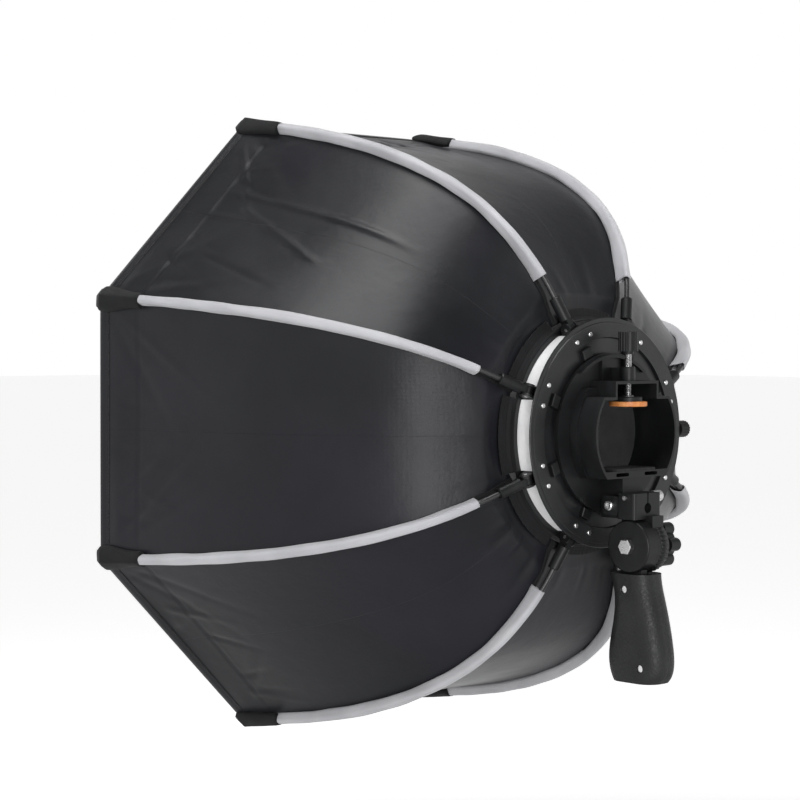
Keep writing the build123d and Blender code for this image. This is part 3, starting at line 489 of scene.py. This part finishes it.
MAT = {
    "nylon": material("black_nylon", nylon, Sheen_Weight=0.05, Specular_IOR_Level=0.24),
    "silver": material("silver_lining", silver, Metallic=0.75),
    "tape": material("grey_sleeve_tape", satin_tape, Sheen_Weight=0.25),
    "webbing": material("black_webbing", webbing, Sheen_Weight=0.04, Specular_IOR_Level=0.2),
    "diffusion": material("diffusion_cloth", diffusion, Sheen_Weight=0.3),
    "moulded": material("moulded_plastic", moulded, Specular_IOR_Level=0.26),
    "ring": material("ring_plastic", ring_moulding, Specular_IOR_Level=0.42),
    "grip": material("grained_plastic", grained, Specular_IOR_Level=0.3),
    "screw": material("bright_screw", brushed, Metallic=1.0),
    "thread": material("bright_thread", thread_with_painted_shade, Metallic=1.0),
    "chrome": material("polished_chrome", brushed, Metallic=1.0),
    "rod": material("coated_rod", coated_rod, Specular_IOR_Level=0.6),
    "band": material("white_band", white_band),
    "orange": material("orange_pad", orange_rubber),
    "loop": material("hook_and_loop", hook_loop),
}
print("materials", len(MAT))

# %% [markdown]
# ## Finishes of the CAD pieces
# Every CAD node that stays in view takes one of the materials above.

# %%
FINISH = {
    "ring": ["hub_plate", "hub_drum"],
    "loop": ["floor_pad"],
    "screw": ["plate_screws", "hinge_pins", "side_bolt", "umbrella_screw", "grip_screws", "lock_screw"],
    "thread": ["clamp_screw"],
    "chrome": ["tilt_bolt", "tilt_washer", "thread_insert"],
    "band": ["reflective_band"],
    "orange": ["clamp_pad"],
    "rod": ["rib_rod_%d" % k for k in range(1, RIBS + 1)],
    "grip": ["grip_shell_left", "grip_shell_right"],
}
named = {n: key for key, names in FINISH.items() for n in names}
for name, node in nodes.items():
    node.data.materials.clear()
    node.data.materials.append(MAT[named.get(name, "moulded")])
print("finished", len(nodes), "CAD nodes")

# %% [markdown]
# ## Cover
# Each panel between two ribs is one ruled cloth: straight from rib to rib, pulled slightly inwards,
# with creases, a hem and the line of the turned edge behind it. It is cut down its middle into two
# halves, one beside each rib, though nothing here ties a half to its rib for when the box folds. The
# columns of the grid crowd together at the ribs and at the middle line, so that the two halves shade as
# one cloth.

# %%
DROP, HUB_DROP, DROP_FROM, DROP_TO = 5.0, 6.0, 165.0, 240.0  # cover below the rib, and more at the hub
TIP_RISE, TIP_RISE_LONG = 3.6, 55.0  # the drop that is given back before the tip, and over what length
HUB_EDGE = np.array([[106.6, -69.4], [110.0, -70.9], [118.0, -72.9]])  # radius, Y under the collar
HUB_BARE = 8.0  # the cover line leaves the hub's edge this far out
ROUND_UNTIL = 150.0  # radius at which the cover has turned from the drum's circle to flat panels
HUB_DIP, SAG = 3.5, 5.0
HEM, HEM_RISE, TURNING, TURNING_RISE, GROOVE = 8.0, 0.6, 45.0, 0.3, 0.35
COVER_THICK = 1.2
HALF_STEPS = np.r_[0, 0.006, 0.02, np.linspace(0.045, 0.96, 40), 0.985, 0.997, 1]
# long folds by panel: start and end as (across, distance behind the mouth), half width and height
LONG_FOLDS = {
    1: [
        ((19, 71), (-34, 207), 3.0, 1.5),
        ((35, 52), (16, 281), 3.4, 1.4),
        ((-28, 178), (-28, 218), 2.6, 0.7),
        ((-50, 74), (-74, 179), 3.5, -1.4),
    ],
    8: [
        ((-60, 20), (-22, 90), 3.0, 0.8),
        ((40, 15), (70, 80), 3.0, -0.8),
    ],
}


def cover_line(share):
    """Radius, Y and length of the cover below the rib, share from 0 at the hub to 1 at the mouth.

    It is the rib line dropped inwards, further near the hub, where the cloth starts under the
    elastic collar, and less over the last stretch, so the corners of the mouth meet the rib tips.
    """
    t = np.linspace(0.08, 1, 300)
    r, y, length = rib_curve(t)
    nr, ny = normals_2d(r, y)
    near_hub = 1 - smooth(r, DROP_FROM, DROP_TO)
    near_tip = smooth(t, 1 - TIP_RISE_LONG / length, 1)
    drop = DROP + HUB_DROP * near_hub - TIP_RISE * near_tip
    keep = r - nr * drop > HUB_EDGE[-1, 0] + HUB_BARE
    r = np.r_[HUB_EDGE[:, 0], (r - nr * drop)[keep]]
    y = np.r_[HUB_EDGE[:, 1], (y - ny * drop)[keep]]
    run = np.r_[0, np.cumsum(np.hypot(np.diff(r), np.diff(y)))]
    at = np.asarray(share, float) * run[-1]
    return np.interp(at, run, r), np.interp(at, run, y), run[-1]


def creases(x, front, width, seed):
    """Height of a panel's wrinkles, from x across and front, the distance behind the mouth.

    Five long soft waves, nine short pleats near the hem, four tension folds that fan out of each
    corner, and seven gathers near the hub. All but the waves are ridges with a bell-shaped section,
    exp(-(distance / width)^2), that fade in and out along their length.
    """
    g = np.random.default_rng(seed)
    height = np.zeros(np.broadcast(x, front).shape)
    for _ in range(5):
        a, b, p = g.uniform(-0.028, 0.028), g.uniform(0.008, 0.028), g.uniform(0, 6.3)
        height += 0.5 * np.sin(a * x + b * front + p)
    for _ in range(9):
        centre, lean = g.uniform(-0.9, 0.9) * width[-1, 0], g.uniform(-0.5, 0.5)
        reach, wide, tall = g.uniform(25, 120), g.uniform(2.5, 7), g.uniform(-1.3, 1.3)
        start = g.uniform(0, 50)
        off = x - centre - lean * front
        body = smooth(front, start, start + 15) * (1 - smooth(front, start + 15, start + 15 + reach))
        height += tall * np.exp(-((off / wide) ** 2)) * body
    for side in (-1, 1):
        for _ in range(4):
            slope, wide = g.uniform(0.35, 1.5), g.uniform(3, 7)
            away = side * (side * width[-1, 0] - x)
            run = np.hypot(away, front)
            off = (away - slope * front) / np.hypot(1, slope)
            tall = g.uniform(-1.1, 1.1)
            height += tall * np.exp(-((off / wide) ** 2)) * smooth(run, 15, 50) * (1 - smooth(run, 70, 190))
    length = front.max()
    for _ in range(7):
        centre, wide = g.uniform(-0.95, 0.95), g.uniform(0.05, 0.12)
        fade = smooth(front, length - g.uniform(60, 130), length - 5)
        height += g.uniform(-1.4, 1.4) * np.exp(-(((x / width - centre) / wide) ** 2)) * fade
    return height


def ridge(x, front, start, end, wide):
    """A bell-shaped ridge along the straight line from start to end, fading at both ends."""
    along, across = end[0] - start[0], end[1] - start[1]
    size = np.hypot(along, across)
    run = ((x - start[0]) * along + (front - start[1]) * across) / size
    off = ((x - start[0]) * across - (front - start[1]) * along) / size
    return np.exp(-((off / wide) ** 2)) * smooth(run, -15, 20) * (1 - smooth(run, size - 60, size + 15))


def panel(mid_angle, number, s, rows=150):
    """One panel's grid over s, -1 at the rib before it to 1 at the rib after it, and its UV map.

    Straight across between the two cover lines, turning into the drum's circle at the hub, and
    sagging inwards towards its middle; then creases, a raised hem, and the groove of the turned
    edge, all along the panel's normal.
    """
    share = np.linspace(0, 1, rows) ** 0.9
    r, y, length = cover_line(share)
    s, rim = s[None, :], r[:, None]
    flat = smooth(rim, HUB_EDGE[0, 0], ROUND_UNTIL)
    apothem = rim * (flat * np.cos(HALF) + (1 - flat) * np.cos(s * HALF))
    x = rim * (flat * s * np.sin(HALF) + (1 - flat) * np.sin(s * HALF))
    nr, ny = normals_2d(r * np.cos(HALF), y)
    width = (r * np.sin(HALF))[:, None]
    front = (length * (1 - share))[:, None] + 0 * x
    sag = -SAG * (1 - s**2) * np.sin(np.pi * share**0.8)[:, None] ** 0.8
    inside = 1 - s**8
    folds = creases(x, front, width, number)
    for start, end, wide, tall in LONG_FOLDS.get(number, []):
        folds = folds + tall * ridge(x, front, start, end, wide)
    away_from_edges = smooth(front, 4, 22) * smooth(rim, HUB_EDGE[-1, 0], ROUND_UNTIL)
    height = sag + folds * inside * away_from_edges
    groove = GROOVE * np.exp(-(((front - TURNING) / 1.2) ** 2))
    height += HEM_RISE * (1 - smooth(front, HEM - 1.2, HEM)) - groove * inside
    height += TURNING_RISE * (1 - smooth(front, TURNING - 1, TURNING)) * inside
    dip = HUB_DIP * (1 - flat) * (1 - s**2)
    out, over = apothem + nr[:, None] * height, y[:, None] + ny[:, None] * height - dip
    return around(out, over, x, mid_angle), np.stack([x, front], axis=-1)


def half_of_panel(sign):
    """The columns of a panel's half: -1 to 0 on the side after a rib, 0 to 1 on the side before it."""
    return HALF_STEPS - 1 if sign > 0 else 1 - HALF_STEPS[::-1]


covers = []
for k in range(1, RIBS + 1):
    for side, sign in (("after", 1), ("before", -1)):
        number = k if sign > 0 else (k - 2) % RIBS + 1
        points, uv = panel(turned(k) + sign * HALF, number, half_of_panel(sign))
        piece = surface(f"cover_{k}_{side}", points, uv)
        piece.data.materials.append(MAT["nylon"])
        piece.data.materials.append(MAT["silver"])
        solidify(piece, COVER_THICK, -1.0, inner_slot=1)
        covers.append(piece)
print("cover halves", len(covers))

# %% [markdown]
# ## Cover halves in place
# Each half's transform is baked into its mesh, and the CAD panel it replaces is hidden. Nothing here
# bends a half with its rib: the points where its rib edge would follow the rib and the middle of the
# panel the pleat body are worked out but not used. A short reach would fold the cloth sharply beside
# the rib, and a long one would push neighbouring pleats through each other.

# %%
BEND_REACH = 74.0
MID_R, MID_Y = 200.0, -250.0  # a point half way along the cover, where the bend is measured


def bend_with_rib(piece, k, side):
    """Bakes a cloth's transform into its mesh; the rib and pleat points for a bend are worked out, unused.
    """
    reach = BEND_REACH if side == "after" else -BEND_REACH
    ends = [tuple(around(MID_R, MID_Y, x, turned(int(k))) * MM) for x in (0.0, reach)]
    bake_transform(piece)


for piece in covers:
    _, k, side = piece.name.split("_")
    bend_with_rib(piece, k, side)
    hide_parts(f"panel_{k}_{side}")

# %% [markdown]
# ## Sleeves, pockets and seams on the ribs
# A light grey sleeve holds each rod against the cover from about half way out. At the mouth a
# stitched black pocket takes the rod's tip, and nearer the hub a binding covers the bare seam. All
# three are one closed section carried along a line; only the section's half sizes change on the way.

# %%
SLEEVE_START_R, SLEEVE_END = 155.0, 44.0  # radius of the hub end, and the distance short of the tip
SLEEVE_MOUTH = 16.0  # length of the uneven open end
SLEEVE_HALF = (3.9, 4.6)  # half sizes, sideways and outwards
SLEEVE_LIFT, SLEEVE_SINK = 0.4, 1.6  # above the rod, and lower near the hub
SEAM_LAP = 0.7  # how far the sleeve goes into the cover that it is sewn to
POCKET_LONG, POCKET_PAST = 56.0, 2.0  # the pocket's length, and how far it stands past the tip
BINDING_SHARE, BINDING_HALF = 0.36, (2.6, 1.3)  # share of the cover's length, and its half sizes
along = np.linspace(0, 1, RUN_POINTS)
SLEEVE_START = np.interp(SLEEVE_START_R, rib_curve(along)[0], along)


def circle(columns):
    """Angles once round a section, as one row."""
    return np.linspace(0, 2 * np.pi, columns, endpoint=False)[None, :]


def tube(t, sideways, outward, inward, angle, offset, power, columns, bump, drape=0.0):
    """A superellipse section swept along the rib, and its UV map.

    sideways, outward and inward are the half sizes along t, |c|^power + |s|^power = 1 is the
    section, and bump adds to the size by (row, angle). offset lifts the section off the rib's
    centre line, and drape times the sideways distance lowers it, so that its sides lie on the two
    panels.
    """
    c, s = np.cos(circle(columns)), np.sin(circle(columns))
    unit = (np.abs(c) ** power + np.abs(s) ** power) ** (-1 / power)
    grow = 1 + bump
    r, y, length = rib_curve(t)
    nr, ny = normals_2d(r, y)
    x = unit * c * sideways[:, None] * grow
    reach = np.where(s > 0, outward[:, None], inward[:, None])
    out = unit * s * reach * grow + offset - drape * np.abs(x)
    points = around(r[:, None] + nr[:, None] * out, y[:, None] + ny[:, None] * out, x, angle)
    uv = np.stack([x + 0 * out, np.broadcast_to((t * length)[:, None], x.shape)], axis=-1)
    return points, uv


def make_sleeve(k, g):
    """The light grey sleeve: a tube sewn down to the cover, uneven, and wider at its open hub end."""
    rows, columns = 180, 40
    t = np.linspace(SLEEVE_START, 1 - SLEEVE_END / RIB_LENGTH, rows)
    theta = circle(columns)
    run = (t * RIB_LENGTH)[:, None]
    bump = np.zeros((rows, columns))
    for _ in range(8):
        a, m, p = g.uniform(0.02, 0.16), g.integers(0, 4), g.uniform(0, 6.3)
        bump += 0.018 * np.sin(a * run + m * theta + p)
    open_end = 1 - smooth(t, SLEEVE_START, SLEEVE_START + SLEEVE_MOUTH / RIB_LENGTH)[:, None]
    bump += open_end * (0.04 + 0.10 * np.sin(3 * theta + g.uniform(0, 6.3)))
    middle = np.sin(np.pi * np.clip((t - SLEEVE_START) / (1 - SLEEVE_START), 0, 1))
    near_hub = 1 - smooth(rib_curve(t)[0], DROP_FROM, DROP_TO)
    lift = SLEEVE_LIFT - SLEEVE_SINK * near_hub
    sewn = DROP + HUB_DROP * near_hub + lift + SEAM_LAP
    wide, tall = SLEEVE_HALF[0] + 0.9 * middle, SLEEVE_HALF[1] + 0.7 * middle
    points, uv = tube(t, wide, tall, sewn, turned(k), lift[:, None], 2.8, columns, bump)
    sleeve = surface(f"sleeve_{k}", points, uv, wrap=True, flip=True)
    sleeve.data.materials.append(MAT["tape"])
    solidify(sleeve, 0.7)
    return sleeve


def make_pocket(k, g):
    """The stitched pocket at the mouth: a flat patch rounded over the rod's tip."""
    rows, columns = 46, 40
    share = np.linspace(0, 1, rows)
    t = 1 + (POCKET_PAST - (1 - share) * POCKET_LONG) / RIB_LENGTH
    tall = 5.6 * (1 - 0.75 * smooth(share, 0.88, 1.01)) * (0.92 + 0.08 * smooth(share, 0, 0.08))
    wide = (7.5 + 5.0 * smooth(share, 0.1, 0.85)) * (1 - 0.25 * smooth(share, 0.92, 1.0))
    bump = 0.02 * np.sin(2 * circle(columns) + 9 * share[:, None] + g.uniform(0, 6.3))
    drape = np.tan(HALF) * 0.9
    points, uv = tube(t, wide, tall, tall, turned(k), 1.3, 2.2, columns, bump, drape)
    pocket = surface(f"pocket_{k}", points, uv, wrap=True, caps=(True, True), flip=True)
    pocket.data.materials.append(MAT["webbing"])
    return pocket


def make_binding(k):
    """The binding on the bare seam, an oval cord of cloth on the cover line, in to the drum."""
    share = np.linspace(0.0, BINDING_SHARE, 60)
    r, y, _ = cover_line(share)
    nr, ny = normals_2d(r, y)
    wide = BINDING_HALF[0] + 0.4 * np.sin(share * 60 + k)
    x = wide[:, None] * np.cos(circle(20))
    out = BINDING_HALF[1] * np.sin(circle(20)) + 0.1
    points = around(r[:, None] + nr[:, None] * out, y[:, None] + ny[:, None] * out, x, turned(k))
    binding = surface(f"seam_binding_{k}", points, wrap=True, caps=(True, True), flip=True)
    binding.data.materials.append(MAT["webbing"])
    return binding


on_ribs = 0
for k in range(1, RIBS + 1):
    g = np.random.default_rng(300 + k)
    for piece in (make_sleeve(k, g), make_pocket(k, g), make_binding(k)):
        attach(piece, f"rib_{k}")
        on_ribs += 1
print("sleeves, pockets and bindings", on_ribs)

# %% [markdown]
# ## Collar
# An elastic band holds the cover on the drum's flange. It stays on the hub when the ribs fold, and
# it is left open where each rib passes. Its section is five points in radius and Y, swept round an
# arc, with sines of uneven length added to the radius for the gathers.

# %%
COLLAR = np.array([[104.2, -62.6], [104.6, -66.2], [106.6, -68.3], [110.2, -69.7], [114.6, -71.0]])
COLLAR_THICK, COLLAR_GAP = 0.8, 7.0  # the gap is on each side of a rib
arc = HALF - COLLAR_GAP / COLLAR[0, 0]
collars = []
for k in range(1, RIBS + 1):
    g = np.random.default_rng(500 + k)
    a = np.linspace(-arc, arc, 90)[None, :]
    step = np.linspace(0, 1, 25)
    r, y = (np.interp(step * (len(COLLAR) - 1), np.arange(len(COLLAR)), COLLAR[:, i]) for i in (0, 1))
    gather = sum(
        0.14 * np.sin(a * g.uniform(60, 190) + g.uniform(0, 6.3)) for _ in range(5)
    ) * smooth(step, 0.25, 1)[:, None]
    end = smooth(np.abs(a), arc - 0.03, arc)
    radius = r[:, None] + gather + 0.45 * np.sin(np.pi * step)[:, None] - 0.5 * end * step[:, None]
    points = around(radius * np.cos(a), y[:, None] + 0 * a, radius * np.sin(a), turned(k) + HALF)
    collar = surface(f"hub_collar_{k}", points)
    collar.data.materials.append(MAT["webbing"])
    solidify(collar, COLLAR_THICK)
    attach(collar, "hub")
    collars.append(collar)
print("collar arcs", len(collars))

# %% [markdown]
# ## Rosette of the tilt joint
# Fine ridges run around the disc of the tilting head, so that it bites when the star knob is tight.
# They could be cut one by one; a cosine added to the radius makes them all at once.

# %%
PIVOT = (-3.0, 123.0)  # Y and Z of the tilt axis
ROSETTE_R, ROSETTE_TEETH, TOOTH = 24.0, 36, 0.9
ROSETTE_X = np.array([-13.5, -12.6, -3.2, -2.3])  # both ends dip below the disc, so no edge shows
turn = circle(8 * ROSETTE_TEETH)
tooth = TOOTH * np.abs(np.cos(turn * ROSETTE_TEETH / 2)) ** 0.7
proud = np.array([-0.8, 1.0, 1.0, -0.8])[:, None]
radius = ROSETTE_R + np.where(proud > 0, tooth, proud)
points = np.stack(np.broadcast_arrays(
    ROSETTE_X[:, None], PIVOT[0] + radius * np.cos(turn), PIVOT[1] + radius * np.sin(turn)
), axis=-1)
rosette = surface("tilt_rosette", points, wrap=True, caps=(True, True))
rosette.data.materials.append(MAT["moulded"])
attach(rosette, "bracket")
print("rosette teeth", ROSETTE_TEETH)

# %% [markdown]
# ## Diffuser
# The white cloth is held just inside the mouth by a black hook-and-loop border, cut in halves like the
# cover and left where it is made; the cloth itself is cut into eight wedges, each attached to the hub.

# %%
BORDER_OUT, BORDER_WIDE, BORDER_DEPTH = 322.0, 30.0, 10.0
CLOTH_OUT, CLOTH_EYE, CLOTH_BULGE = 316.0, 0.05, 5.0
CLOTH_BEHIND = 1.6  # the cloth lies this far behind the border
for k in range(1, RIBS + 1):
    for side, sign in (("after", 1), ("before", -1)):
        out = np.linspace(0, 1, 10)[:, None]
        radius = BORDER_OUT - BORDER_WIDE * out
        x = half_of_panel(sign)[None, :] * radius * np.sin(HALF)
        y = FRONT_Y + BORDER_DEPTH + 0.8 * np.sin(x * 0.05 + k) * out
        points = around(radius * np.cos(HALF) + 0 * x, y, x, turned(k) + sign * HALF)
        border = surface(f"diffuser_border_{k}_{side}", points, flip=True)
        border.data.materials.append(MAT["loop"])
        solidify(border, 1.2)
        bend_with_rib(border, k, side)
for k in range(1, RIBS + 1):
    a = HALF * np.r_[half_of_panel(1), half_of_panel(-1)[1:]][None, ::2]
    out = np.linspace(0, 1, 60)[:, None]
    limit = CLOTH_OUT * np.cos(HALF) / np.cos(HALF - np.abs(a))
    radius = CLOTH_EYE + out * (limit - CLOTH_EYE)
    y = FRONT_Y + BORDER_DEPTH + CLOTH_BEHIND + CLOTH_BULGE * (1 - out**2)
    points = around(radius * np.cos(a), y + 0 * a, radius * np.sin(a), turned(k))
    # one seed for all eight, so that the ripples run on from wedge to wedge
    g = np.random.default_rng(700)
    ripple = 0.0
    for _ in range(6):
        wave_x, wave_z, phase = g.uniform(-0.04, 0.04), g.uniform(-0.04, 0.04), g.uniform(0, 6.3)
        ripple = ripple + 0.7 * np.sin(points[..., 0] * wave_x + points[..., 2] * wave_z + phase)
    points[..., 1] += ripple * (1 - out**6)
    wedge = surface(f"diffuser_wedge_{k}", points)
    wedge.data.materials.append(MAT["diffusion"])
    solidify(wedge, 0.5, 0.0)
    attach(wedge, "hub")
    direction = around(1.0, 0.0, 0.0, turned(k)) - np.array([0, 0, AXIS_Z])
    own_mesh(wedge)
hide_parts("front_diffuser")

# %% [markdown]
# ## Cover line
# The cover's line is worked out once more along its whole length. A half panel is cut as the ruled
# strip between the rib line and the middle of its panel.

# %%
share = np.linspace(0, 1, RUN_POINTS)
r, y, length = cover_line(share)

# %% [markdown]
# ## Floor, light and camera
# A pale floor well below the box, and three soft lamps: a tall strip behind the box that draws the
# long light on the cloth, a wide one overhead, and a weak one on the front. The floor glows faintly by
# itself, and a painted shadow darkens its colour and its glow under the box. The world is white near
# the horizon, which makes the backdrop, and dim above and below, so that the black cloth stays black.
# The camera stands behind and to the side, about level with the hub.

# %%
BACKDROP_TOP, DIM_FROM, DIM = 0.24, 0.62, 0.16  # heights of the view direction, and the dim strength
world = bpy.data.worlds.new("studio")
bpy.context.scene.world = world
world.use_nodes = True
sky = Shade(world.node_tree)
height = sky.make("ShaderNodeTexCoord", out="Generated").split()[2]
background = world.node_tree.nodes["Background"]
background.inputs["Color"].default_value = rgb(1.0, 1.0, 1.0)
dimmed = height.absolute().ramp(BACKDROP_TOP, DIM_FROM, 1.0, DIM)
sky.feed(background.inputs["Strength"], dimmed)
bpy.context.scene.view_settings.view_transform = "Standard"

SPAN, FLOOR_Z = 30.0, -0.45
floor_mesh = bpy.data.meshes.new("floor")
corners = [(-SPAN, -SPAN), (SPAN, -SPAN), (SPAN, SPAN), (-SPAN, SPAN)]
floor_mesh.from_pydata([(x, y, FLOOR_Z) for x, y in corners], [], [(0, 1, 2, 3)])
floor = bpy.data.objects.new("floor", floor_mesh)
bpy.context.scene.collection.objects.link(floor)


def floor_paint(shade, place):
    """Pale seamless paper with the faintest unevenness, and a painted shadow under the box."""
    uneven = shade.noise(place, 3.0, 2.0)
    x, y, _ = place.split()
    # painted shadow: colour and glow are darkest within half a metre of the box and pale out by 2.2 m
    away = (x * x + y * y).root().ramp(0.5, 2.2)
    return {
        "Base_Color": away.colours(rgb(0.5, 0.5, 0.5), rgb(0.88, 0.88, 0.88)),
        "Roughness": uneven.ramp(0.3, 0.7, 0.85, 0.95),
        "Emission_Color": away.colours(rgb(0.25, 0.25, 0.25), rgb(1.0, 1.0, 1.0)),
    }


floor.data.materials.append(material("pale_paper", floor_paint, Emission_Strength=0.62))


def lamp(name, place, aim, wide, tall, power):
    """A rectangular soft light at place, in metres, pointing to aim, with its power in watts."""
    data = bpy.data.lights.new(name, "AREA")
    data.shape, data.size, data.size_y, data.energy = "RECTANGLE", wide, tall, power
    obj = bpy.data.objects.new(name, data)
    bpy.context.scene.collection.objects.link(obj)
    obj.location = place
    obj.rotation_mode = "QUATERNION"
    obj.rotation_quaternion = (Vector(aim) - Vector(place)).to_track_quat("-Z", "Y")


MIDDLE = (0.0, -0.2, 0.22)
lamp("strip", (1.25, 1.75, 0.35), MIDDLE, 0.5, 1.7, 26)
lamp("overhead", (0.45, -0.1, 2.3), MIDDLE, 1.3, 1.1, 34)
lamp("front", (0.5, -2.4, 1.2), MIDDLE, 1.4, 1.4, 12)

LENS, SENSOR = 95.07, 36.0
EYE, LOOK, ROLL = (1.4891, 1.2171, 0.3147), (-0.69667, -0.7167, -0.03149), 0.155
camera_data = bpy.data.cameras.new("camera")
camera_data.lens, camera_data.sensor_width = LENS, SENSOR
camera = bpy.data.objects.new("camera", camera_data)
bpy.context.scene.collection.objects.link(camera)
camera.location = EYE
camera.rotation_mode = "QUATERNION"
level = Vector(LOOK).to_track_quat("-Z", "Y")
camera.rotation_quaternion = level @ Quaternion((0.0, 0.0, 1.0), np.radians(ROLL))
bpy.context.scene.camera = camera
print("stage ready")
